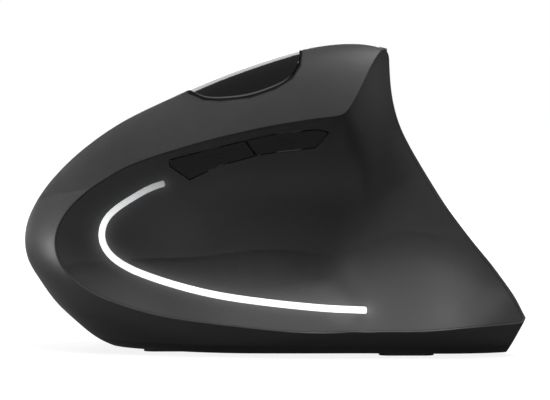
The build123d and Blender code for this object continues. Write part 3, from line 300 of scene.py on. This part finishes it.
class Finish(Nodes):
    """A material under construction."""

    def __init__(self, name, colour, roughness, **inputs):
        self.material = bpy.data.materials.new(name)
        self.material.use_nodes = True
        super().__init__(self.material.node_tree, "Object")
        self.shader = self.tree.nodes["Principled BSDF"]
        self.colour = colour
        self.shader.inputs["Base Color"].default_value = (*colour, 1)
        self.shader.inputs["Roughness"].default_value = roughness
        for label, value in inputs.items():
            self.shader.inputs[label.replace("_", " ")].default_value = value

    def stretched(self, scale):
        """The object's coordinates, scaled on each axis."""
        made = self.node("Mapping")
        made.inputs["Scale"].default_value = scale
        self.link(self.place, made.inputs["Vector"])
        return made.outputs["Vector"]

    def noise(self, size, detail=2.0, place=None):
        """Noise whose spots are about size metres wide."""
        made = self.node("TexNoise")
        made.inputs["Scale"].default_value = 1 / size
        made.inputs["Detail"].default_value = detail
        self.link(place or self.place, made.inputs["Vector"])
        return made.outputs["Fac"]

    def mix(self, share, first, second):
        """A colour between two, each a socket or three parts."""
        made = self.node("Mix", data_type="RGBA")
        for socket, value in ((made.inputs[0], share), (made.inputs[6], first),
                              (made.inputs[7], second)):
            if isinstance(value, bpy.types.NodeSocket):
                self.link(value, socket)
            else:
                socket.default_value = (*value, 1)
        return made.outputs[2]

    def shades(self, low, high):
        """Two shades of the finish's colour."""
        return [[level * part for part in self.colour] for level in (low, high)]

    def tint(self, share, low, high):
        """Colour the base between low and high times the finish's colour."""
        self.link(self.mix(share, *self.shades(low, high)), self.shader.inputs["Base Color"])

    def rough(self, share, low, high):
        self.link(self.between(share, 0, 1, low, high), self.shader.inputs["Roughness"])

    def bump(self, height, depth, edge=0.0):
        """Raise the surface by height times depth, with rounded edges."""
        made = self.node("Bump")
        made.inputs["Strength"].default_value = 1.0
        made.inputs["Distance"].default_value = depth
        self.link(height, made.inputs["Height"])
        if edge:
            round_off = self.node("Bevel", samples=4)
            round_off.inputs["Radius"].default_value = edge
            self.link(round_off.outputs["Normal"], made.inputs["Normal"])
        self.link(made.outputs["Normal"], self.shader.inputs["Normal"])

    def lit(self, colour, level):
        self.shader.inputs["Emission Color"].default_value = (*colour, 1)
        self.link(level, self.shader.inputs["Emission Strength"])

    def lit_outside(self, colour, level):
        """Light of its own on the faces that look to the thumb side, not on inner ones."""
        facing = self.axis("Y", self.node("TexCoord").outputs["Normal"])
        outside = self.between(facing, -0.1, 0.1, 1.0, 0.0)
        self.lit(colour, self.math("MULTIPLY", level, outside))

    def line_distance(self, mask, ends):
        """How far a point lies from a broken line, on the axes that mask keeps."""
        flat = self.vector("MULTIPLY", self.place, mask)
        nearest = None
        for start, end in zip(ends, ends[1:]):
            way = end - start
            reach = self.vector("SUBTRACT", flat, start)
            along = self.vector("DOT_PRODUCT", reach, way / way.length_squared)
            along = self.math("ADD", along, 0.0, clamp=True)
            scaled = self.node("VectorMath", operation="SCALE")
            scaled.inputs[0].default_value = way
            self.link(along, scaled.inputs["Scale"])
            gap = self.vector("LENGTH", self.vector("SUBTRACT", reach, scaled.outputs[0]))
            nearest = gap if nearest is None else self.math("MINIMUM", nearest, gap)
        return nearest


# ---- Kinds of finish


def soft_touch(name, colour, sizes, roughness):
    """Rubbery lacquer: fine even grain, faint mottling and a soft sheen."""
    made = Finish(name, colour, roughness, Specular_IOR_Level=0.42,
                  Sheen_Weight=0.05, Sheen_Roughness=0.4)
    cloud = made.noise(0.012, 4)
    grain = made.noise(sizes.grain, 3)
    made.tint(made.math("ADD", made.math("MULTIPLY", cloud, 0.4),
                        made.math("MULTIPLY", grain, 0.6)), 0.66, 1.34)
    made.rough(cloud, roughness - 0.05, roughness + 0.05)
    made.bump(grain, sizes.grain_depth, sizes.edge)
    return made


def moulded(name, colour, roughness, sizes, depth=0.000006):
    """Moulded plastic with a light erosion texture."""
    made = Finish(name, colour, roughness)
    grain = made.noise(sizes.grain * 1.5, 2)
    made.tint(made.noise(0.008, 3), 0.88, 1.12)
    made.rough(grain, roughness - 0.05, roughness + 0.08)
    made.bump(grain, depth, sizes.edge * 0.7)
    return made


def glossy(name, colour, sizes, roughness=0.06):
    """Polished plastic: faint ripple and hairline wear in the gloss."""
    made = Finish(name, colour, roughness, Specular_IOR_Level=0.5,
                  Coat_Weight=1.0, Coat_Roughness=0.03, Coat_IOR=1.7)
    hairs = made.noise(0.0006, 5, made.stretched((0.25, 1.0, 1.0)))
    made.rough(hairs, roughness * 0.7, roughness * 1.8)
    made.tint(made.noise(0.01), 0.9, 1.1)
    made.bump(made.noise(0.006, 1), 0.000004, sizes.edge * 1.6)
    return made


def brushed(name, colour, roughness, stretch):
    """Sheet metal with drawn streaks."""
    made = Finish(name, colour, roughness, Metallic=1.0)
    streak = made.noise(0.0009, 4, made.stretched(stretch))
    made.tint(streak, 0.75, 1.2)
    made.rough(streak, roughness * 0.75, roughness * 1.35)
    made.bump(streak, 0.000004, 0.0001)
    return made


def circuit_board(name, colour):
    """Solder mask over fine copper tracks, with tinned pads."""
    made = Finish(name, colour, 0.32, Specular_IOR_Level=0.5)
    tracks = made.node("TexBrick", offset=0.5, squash=1.6)
    tracks.inputs["Scale"].default_value = 1 / 0.0052
    tracks.inputs["Mortar Size"].default_value = 0.022
    tracks.inputs["Color1"].default_value = (0, 0, 0, 1)
    tracks.inputs["Color2"].default_value = (0, 0, 0, 1)
    tracks.inputs["Mortar"].default_value = (1, 1, 1, 1)
    made.link(made.place, tracks.inputs["Vector"])
    cells = made.node("TexVoronoi", feature="F1")
    cells.inputs["Scale"].default_value = 1 / 0.0034
    made.link(made.place, cells.inputs["Vector"])
    pads = made.math("LESS_THAN", cells.outputs["Distance"], 0.13)
    lines = made.math("MULTIPLY", tracks.outputs["Color"], 0.8)
    masked = made.mix(lines, *made.shades(0.85, 1.9))
    made.link(made.mix(pads, masked, (0.62, 0.60, 0.52)), made.shader.inputs["Base Color"])
    made.link(pads, made.shader.inputs["Metallic"])
    made.bump(made.math("MAXIMUM", tracks.outputs["Color"], pads), 0.00003)
    return made


def paint(finish, *names):
    """Give CAD nodes one finish."""
    for name in names:
        materials = frame["nodes"][name].data.materials
        materials.clear()
        materials.append(finish.material)


def of_slot(slot):
    """CAD nodes that take their finish from a slot of the record."""
    return [node for node, own in SLOT_OF.items() if own == slot]


# ---- Shape helpers


def new_object(name, data):
    """An object in the scene that shows the data."""
    made = bpy.data.objects.new(name, data)
    bpy.context.scene.collection.objects.link(made)
    return made


def meshed(name, shape, finish):
    """Turn a bmesh into an object in the scene."""
    mesh = bpy.data.meshes.new(name)
    shape.to_mesh(mesh)
    shape.free()
    mesh.materials.append(finish.material)
    return new_object(name, mesh)


def add_piece(name, shape, finish, body):
    """Turn a bmesh into a named piece that rides on a body."""
    piece = meshed(name, shape, finish)
    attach(piece, body)


def surface(node):
    """A search tree over a CAD node's mesh."""
    mesh = frame["nodes"][node].data
    return BVHTree.FromPolygons(
        [corner.co for corner in mesh.vertices],
        [face.vertices for face in mesh.polygons])


def stroke(shape, start, end, width):
    """A flat bar between two points of the XZ plane."""
    way = end - start
    made = bmesh.ops.create_grid(shape, x_segments=6, y_segments=1, size=0.5)["verts"]
    bmesh.ops.scale(shape, vec=(way.length + width, width, 1), verts=made)
    turn = Vector((1, 0, 0)).rotation_difference(way.normalized()).to_matrix()
    upright = Vector((0, 0, 1)).rotation_difference(Vector((0, -1, 0))).to_matrix()
    bmesh.ops.rotate(shape, cent=(0, 0, 0), verts=made, matrix=turn @ upright)
    bmesh.ops.translate(shape, vec=(start + end) / 2, verts=made)


def thicken(shape, way):
    """Give a flat shape a thickness along way."""
    made = bmesh.ops.extrude_face_region(shape, geom=shape.faces[:])["geom"]
    risen = [item for item in made if isinstance(item, bmesh.types.BMVert)]
    bmesh.ops.translate(shape, vec=way, verts=risen)
    bmesh.ops.recalc_face_normals(shape, faces=shape.faces[:])


def lay_on(shape, tree, thick):
    """Press a flat shape onto the surface in front of it and thicken it."""
    for corner in shape.verts:
        hit = tree.ray_cast(Vector((corner.co.x, -LENGTH, corner.co.z)), Vector((0, 1, 0)))
        if hit[0] is None:
            raise RuntimeError("a printed mark runs off its face")
        corner.co.y = hit[0].y - thick
    thicken(shape, (0, 2 * thick, 0))


class MouseOperator:
    """What the operators share: the two property groups and the plain finishes."""

    bl_options = {"REGISTER", "UNDO"}

    @property
    def colours(self):
        return bpy.context.scene.mouse_colours

    @property
    def sizes(self):
        return bpy.context.scene.mouse_sizes

    def mould(self, *slots):
        """Give slots their moulded finish from the table."""
        for slot in slots:
            paint(moulded(*MOULDED[slot], self.sizes), *of_slot(slot))

    def draw_metal(self, *slots):
        """Give slots their finish of drawn metal from the table."""
        for slot in slots:
            paint(brushed(*METALS[slot]), *of_slot(slot))


# ---- Outer finishes


class MOUSE_OT_shell(MouseOperator, Operator):
    """Soft-touch finish of the hood and the main buttons, with a painted shade line round
    the crest insert
    """

    bl_idname = "mouse.shell"
    bl_label = "Shell"

    def execute(self, context):
        skin = soft_touch("Soft touch shell", self.colours.shell, self.sizes, 0.43)
        edge = [Vector((x * LENGTH, y * WIDTH, 0)) for x, y in INSERT_SHARES]
        # Near-black band along the crest insert's edge, on the crest only: painted shade
        # where a groove's shadow would fall
        painted_groove_shade = skin.between(skin.line_distance((1, 1, 0), edge),
                              self.sizes.painted_groove_shade * 0.8, self.sizes.painted_groove_shade, 1.0, 0.0)
        high = skin.math("GREATER_THAN", skin.axis("Z"), CREST_SHARE * HEIGHT)
        base = skin.shader.inputs["Base Color"]
        plain = base.links[0].from_socket
        skin.link(skin.mix(skin.math("MULTIPLY", painted_groove_shade, high), plain,
                           (0.001, 0.001, 0.001)), base)
        paint(skin, *of_slot("soft_shell"))
        return {"FINISHED"}


class MOUSE_OT_thumb_panel(MouseOperator, Operator):
    """Soft-touch thumb panel with the glow that the strip throws on it"""

    bl_idname = "mouse.thumb_panel"
    bl_label = "Thumb panel"

    def execute(self, context):
        sizes = self.sizes
        # The darker thumb colour is painted shade on the same lacquer as the shell
        skin = soft_touch("Soft touch thumb panel", self.colours.thumb, sizes, 0.5)
        line = [Vector((x * LENGTH, 0, z * HEIGHT)) for x, z in STRIP_SHARES]
        clear = skin.math("SUBTRACT", skin.line_distance((1, 0, 1), line), sizes.strip_half)
        fade = skin.math("EXPONENT", skin.math("MULTIPLY", clear, -1 / sizes.glow_reach))
        dim = skin.between(skin.axis("Z"), *GLOW_DIMS, 1.0)
        glow = skin.math("MULTIPLY", skin.math("MULTIPLY", fade, dim), sizes.glow)
        skin.lit_outside(self.colours.light, glow)
        paint(skin, "thumb_panel")
        return {"FINISHED"}


class MOUSE_OT_light_strip(MouseOperator, Operator):
    """Milky light guide, dimmer towards its upper end, and the lamps behind it"""

    bl_idname = "mouse.light_strip"
    bl_label = "Light strip"

    def execute(self, context):
        guide = Finish("Lit milky guide", (0.8, 0.82, 0.84), 0.35)
        dim = guide.between(guide.axis("Z"), *STRIP_DIMS, 1.0)
        cloud = guide.between(guide.noise(0.004, 2), 0, 1, 0.92, 1.04)
        level = guide.math("MULTIPLY", guide.math("MULTIPLY", dim, cloud),
                           self.sizes.strip_light)
        guide.lit_outside(self.colours.light, level)
        guide.bump(guide.noise(0.0008), 0.00001, self.sizes.edge)
        paint(guide, "light_strip")
        lamp = Finish("Lamp resin", (0.85, 0.72, 0.22), 0.25, Coat_Weight=0.5)
        lamp.tint(lamp.noise(0.001), 0.8, 1.1)
        lamp.bump(lamp.noise(0.0012), 0.00003)
        paint(lamp, "strip_lamps")
        return {"FINISHED"}


class MOUSE_OT_gloss_pieces(MouseOperator, Operator):
    """Gloss insert in the crest and the speed button"""

    bl_idname = "mouse.gloss_pieces"
    bl_label = "Gloss pieces"

    def execute(self, context):
        paint(glossy("Polished black", self.colours.gloss, self.sizes),
              *of_slot("gloss_black"))
        return {"FINISHED"}


class MOUSE_OT_thumb_buttons(MouseOperator, Operator):
    """Satin thumb buttons and the arrow printed on each"""

    bl_idname = "mouse.thumb_buttons"
    bl_label = "Thumb buttons"

    def execute(self, context):
        keys = self.colours.keys
        paint(moulded("Satin black", keys, 0.36, self.sizes), *of_slot("satin_black"))
        ink = moulded("Faint print", [1.7 * part for part in keys], 0.3, self.sizes)
        for node, (x, z, way) in ARROW_SHARES.items():
            mark = self.wedge(node, x * LENGTH, z * HEIGHT, way)
            add_piece(node.replace("button", "arrow"), mark, ink, NODE_BODY[node])
        return {"FINISHED"}

    def wedge(self, node, x, z, way):
        """An open arrowhead laid on the face of a thumb button."""
        length = self.sizes.arrow_length
        shape = bmesh.new()
        tip = Vector((x + way * length / 2, 0, z + length * ARROW_RISE_SHARE))
        for side in (-1, 1):
            end = Vector((x - way * length / 2, 0, z + side * length * ARROW_HALF_SHARE))
            stroke(shape, end, tip, length / ARROW_LINES)
        lay_on(shape, surface(node), self.sizes.print_thick)
        return shape


class MOUSE_OT_wheel(MouseOperator, Operator):
    """Rubber tyre and hub of the scroll wheel, and the plain plastics"""

    bl_idname = "mouse.wheel"
    bl_label = "Scroll wheel"

    def execute(self, context):
        rubber = moulded("Wheel rubber", (0.018, 0.018, 0.018), 0.62, self.sizes, 0.00001)
        paint(rubber, *of_slot("wheel_rubber"))
        self.mould("hub_grey", "inner_black", "white_plastic")
        return {"FINISHED"}


# ---- Underside


class MOUSE_OT_base(MouseOperator, Operator):
    """Base plate, battery door, glide feet and screws"""

    bl_idname = "mouse.base"
    bl_label = "Base"

    def execute(self, context):
        plate = moulded("Base plastic", self.colours.base, 0.48, self.sizes, 0.00001)
        paint(plate, *of_slot("base_black"))
        slick = Finish("Glide foot", (0.024, 0.024, 0.026), 0.22)
        scuff = slick.noise(0.0007, 5, slick.stretched((1.0, 0.12, 1.0)))
        slick.tint(scuff, 0.8, 1.5)
        slick.rough(scuff, 0.15, 0.4)
        slick.bump(scuff, 0.000003, self.sizes.edge)
        paint(slick, *of_slot("glide"))
        self.draw_metal("screw_zinc")
        return {"FINISHED"}


class MOUSE_OT_underside_marks(MouseOperator, Operator):
    """Words beside the power knob, and an arrow on the battery door"""

    bl_idname = "mouse.underside_marks"
    bl_label = "Underside marks"

    def execute(self, context):
        ink = moulded("Grey print", (0.30, 0.30, 0.30), 0.5, self.sizes)
        low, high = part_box("power_slider")
        middle_y = ((low + high) / 2).y
        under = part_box("base_plate")[0].z
        room = WORD_SHARE * (high.x - low.x)
        self.word("OFF", Vector((low.x - room, middle_y, under)), ink)
        on_x = high.x + KNOB_TRAVEL + ON_SHARE * room
        self.word("ON", Vector((on_x, middle_y, under)), ink)
        self.door_arrow(ink)
        return {"FINISHED"}

    def word(self, text, spot, ink):
        """A flat printed word that reads from below."""
        curve = bpy.data.curves.new("word_" + text, "FONT")
        curve.body = text
        curve.size = self.sizes.letter
        curve.extrude = self.sizes.print_thick
        curve.align_x = curve.align_y = "CENTER"
        drawn = new_object("drawn_" + text, curve)
        bpy.context.view_layer.update()
        shape = bmesh.new()
        shape.from_mesh(bpy.data.meshes.new_from_object(drawn))
        bpy.data.objects.remove(drawn)
        bmesh.ops.rotate(shape, cent=(0, 0, 0), verts=shape.verts[:],
                         matrix=Matrix.Rotation(math.pi, 3, "X"))
        bmesh.ops.translate(shape, vec=spot, verts=shape.verts[:])
        add_piece("word_" + text.lower(), shape, ink, "casing")

    def door_arrow(self, ink):
        """An arrow beside the grip of the battery door."""
        low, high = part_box("battery_door")
        from_end, radius = DOOR_ARROW_SHARES
        spot = Vector((high.x - from_end * (high.x - low.x), (low.y + high.y) / 2, low.z))
        shape = bmesh.new()
        made = bmesh.ops.create_circle(shape, cap_ends=True, segments=3,
                                       radius=radius * (high.y - low.y))["verts"]
        bmesh.ops.rotate(shape, cent=(0, 0, 0), verts=made,
                         matrix=Matrix.Rotation(-math.pi / 2, 3, "Z"))
        bmesh.ops.translate(shape, vec=spot, verts=made)
        thicken(shape, (0, 0, -self.sizes.print_thick))
        add_piece("door_arrow", shape, ink, "battery_door")


# ---- Inner pieces


class MOUSE_OT_boards(MouseOperator, Operator):
    """Circuit boards, switches and chips"""

    bl_idname = "mouse.boards"
    bl_label = "Boards"

    def execute(self, context):
        board = circuit_board("Solder mask", (0.012, 0.085, 0.035))
        paint(board, *of_slot("board_green"))
        self.mould("switch_black", "switch_button", "chip_black")
        self.draw_metal("tact_steel", "steel")
        lens = Finish("Clear lens", (0.93, 0.95, 0.97), 0.04, Transmission_Weight=0.95,
                      IOR=1.49)
        lens.rough(lens.noise(0.002, 3), 0.02, 0.1)
        lens.bump(lens.noise(0.003), 0.000005)
        paint(lens, *of_slot("clear_lens"))
        return {"FINISHED"}


class MOUSE_OT_batteries(MouseOperator, Operator):
    """Cells in their printed sleeves, and the contacts"""

    bl_idname = "mouse.batteries"
    bl_label = "Batteries"

    def execute(self, context):
        low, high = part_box("battery_one")
        half = (high.x - low.x) / 2
        sleeve = Finish("Cell sleeve", (0.05, 0.052, 0.056), 0.22, Coat_Weight=0.4)
        away = sleeve.math("ABSOLUTE", sleeve.math(
            "SUBTRACT", sleeve.axis("X"), (low.x + high.x) / 2))
        cap = sleeve.math("GREATER_THAN", away, CELL_CAP_SHARE * half)
        band = sleeve.math("GREATER_THAN", away, CELL_BAND_SHARE * half)
        printed = sleeve.mix(band, sleeve.colour, (0.42, 0.43, 0.45))
        sleeve.link(sleeve.mix(cap, printed, (0.6, 0.6, 0.6)),
                    sleeve.shader.inputs["Base Color"])
        sleeve.link(cap, sleeve.shader.inputs["Metallic"])
        sleeve.bump(sleeve.noise(0.002, 3), 0.00001)
        paint(sleeve, *of_slot("cell_sleeve"))
        self.draw_metal("contact_metal")
        return {"FINISHED"}


# ---- Studio


class MOUSE_OT_studio(MouseOperator, Operator):
    """Pale floor, soft lamps and the camera at the photograph's angle"""

    bl_idname = "mouse.studio"
    bl_label = "Studio"

    def execute(self, context):
        bpy.context.scene.view_settings.view_transform = "Standard"
        self.floor()
        self.world()
        lamps = {name: self.lamp(name, *values) for name, values in LAMPS.items()}
        lamps["Top softbox"].visible_glossy = False
        linking = lamps["Crest softbox"].light_linking
        linking.receiver_collection = self.only("crest_insert")
        self.camera()
        return {"FINISHED"}

    def floor(self):
        """White to the camera, grey in gloss, and dark enough to keep the shadow."""
        shape = bmesh.new()
        bmesh.ops.create_grid(shape, x_segments=2, y_segments=2, size=self.sizes.studio)
        paper = Finish("Studio paper", self.colours.floor, 0.9, Specular_IOR_Level=0.1)
        paper.tint(paper.noise(0.02, 2), 0.99, 1.01)
        far = paper.between(paper.vector("LENGTH", paper.place), *FLOOR_FADE)
        seen = paper.node("LightPath").outputs
        shown = paper.math("ADD", seen["Is Camera Ray"], paper.math(
            "MULTIPLY", seen["Is Glossy Ray"], FLOOR_GLOSS))
        shown = paper.math("MAXIMUM", shown, seen["Is Transmission Ray"])
        paper.lit((1, 1, 1), paper.math("MULTIPLY", shown, far))
        meshed("studio_floor", shape, paper)

    def world(self):
        """White to the camera and to gloss, with a dim ceiling over a pale horizon."""
        world = bpy.data.worlds.new("Studio sky")
        bpy.context.scene.world = world
        world.use_nodes = True
        sky = Nodes(world.node_tree, "Generated")
        seen = sky.node("LightPath").outputs
        wall = sky.between(sky.axis("Z"), *SKY_FADE, interpolation_type="SMOOTHSTEP")
        level = sky.between(seen["Is Glossy Ray"], 0.0, 1.0, SKY_LIGHT, 1.0)
        clear = sky.math("MAXIMUM", seen["Is Camera Ray"], seen["Is Transmission Ray"])
        shown = sky.math("MAXIMUM", clear, sky.math("MULTIPLY", wall, level))
        plain = sky.tree.nodes["Background"]
        plain.inputs["Color"].default_value = (1, 1, 1, 1)
        sky.link(shown, plain.inputs["Strength"])

    def lamp(self, name, spot, size, power, aim, spread):
        data = bpy.data.lights.new(name, "AREA")
        data.shape = "RECTANGLE"
        data.size, data.size_y = size
        data.energy = power
        data.spread = math.radians(spread)
        lamp = new_object(name, data)
        lamp.location = spot
        back = Vector(spot) - Vector(aim)
        lamp.rotation_euler = back.to_track_quat("Z", "Y").to_euler()
        return lamp

    def only(self, node):
        """A collection that holds one CAD node, for a lamp that lights nothing else."""
        kept = bpy.data.collections.new(node + " alone")
        kept.objects.link(frame["nodes"][node])
        return kept

    def camera(self):
        """Looks level at the thumb side, as the photograph does."""
        far = self.sizes.camera_far
        tilt = math.radians(PHOTO_TILT)
        data = bpy.data.cameras.new("Photo camera")
        data.sensor_width = FILM
        data.lens = FILM * PHOTO_SCALE * far / PHOTO_ACROSS
        data.shift_x, data.shift_y = (part / PHOTO_ACROSS for part in PHOTO_SHIFT)
        data.clip_start = 0.01
        camera = new_object("Photo camera", data)
        bpy.context.scene.camera = camera
        away = Vector((0, -math.cos(tilt), math.sin(tilt)))
        camera.location = Vector(LOOK_AT) + away * far
        camera.rotation_euler = away.to_track_quat("Z", "Y").to_euler()


class MOUSE_PT_sidebar(Panel):
    """Lists the sizes, the colours and the steps"""

    bl_idname = "MOUSE_PT_sidebar"
    bl_label = "Upright Mouse"
    bl_space_type = "VIEW_3D"
    bl_region_type = "UI"
    bl_category = "Mouse"

    def draw(self, context):
        for group in (context.scene.mouse_colours, context.scene.mouse_sizes):
            box = self.layout.box()
            for label in group.bl_rna.properties.keys():
                if label not in ("rna_type", "name"):
                    box.prop(group, label)
        for step in STEPS:
            self.layout.operator(step.bl_idname)


STEPS = (
    MOUSE_OT_studio,
    MOUSE_OT_shell,
    MOUSE_OT_thumb_panel,
    MOUSE_OT_light_strip,
    MOUSE_OT_gloss_pieces,
    MOUSE_OT_thumb_buttons,
    MOUSE_OT_wheel,
    MOUSE_OT_base,
    MOUSE_OT_underside_marks,
    MOUSE_OT_boards,
    MOUSE_OT_batteries,
)
CLASSES = (MouseColours, MouseSizes, *STEPS, MOUSE_PT_sidebar)


def register():
    for kind in CLASSES:
        bpy.utils.register_class(kind)
    bpy.types.Scene.mouse_colours = PointerProperty(type=MouseColours)
    bpy.types.Scene.mouse_sizes = PointerProperty(type=MouseSizes)


def unregister():
    del bpy.types.Scene.mouse_sizes
    del bpy.types.Scene.mouse_colours
    for kind in reversed(CLASSES):
        bpy.utils.unregister_class(kind)


def main():
    """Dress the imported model."""
    register()
    for step in STEPS:
        group, label = step.bl_idname.split(".")
        getattr(getattr(bpy.ops, group), label)()


if __name__ == "__main__":
    main()
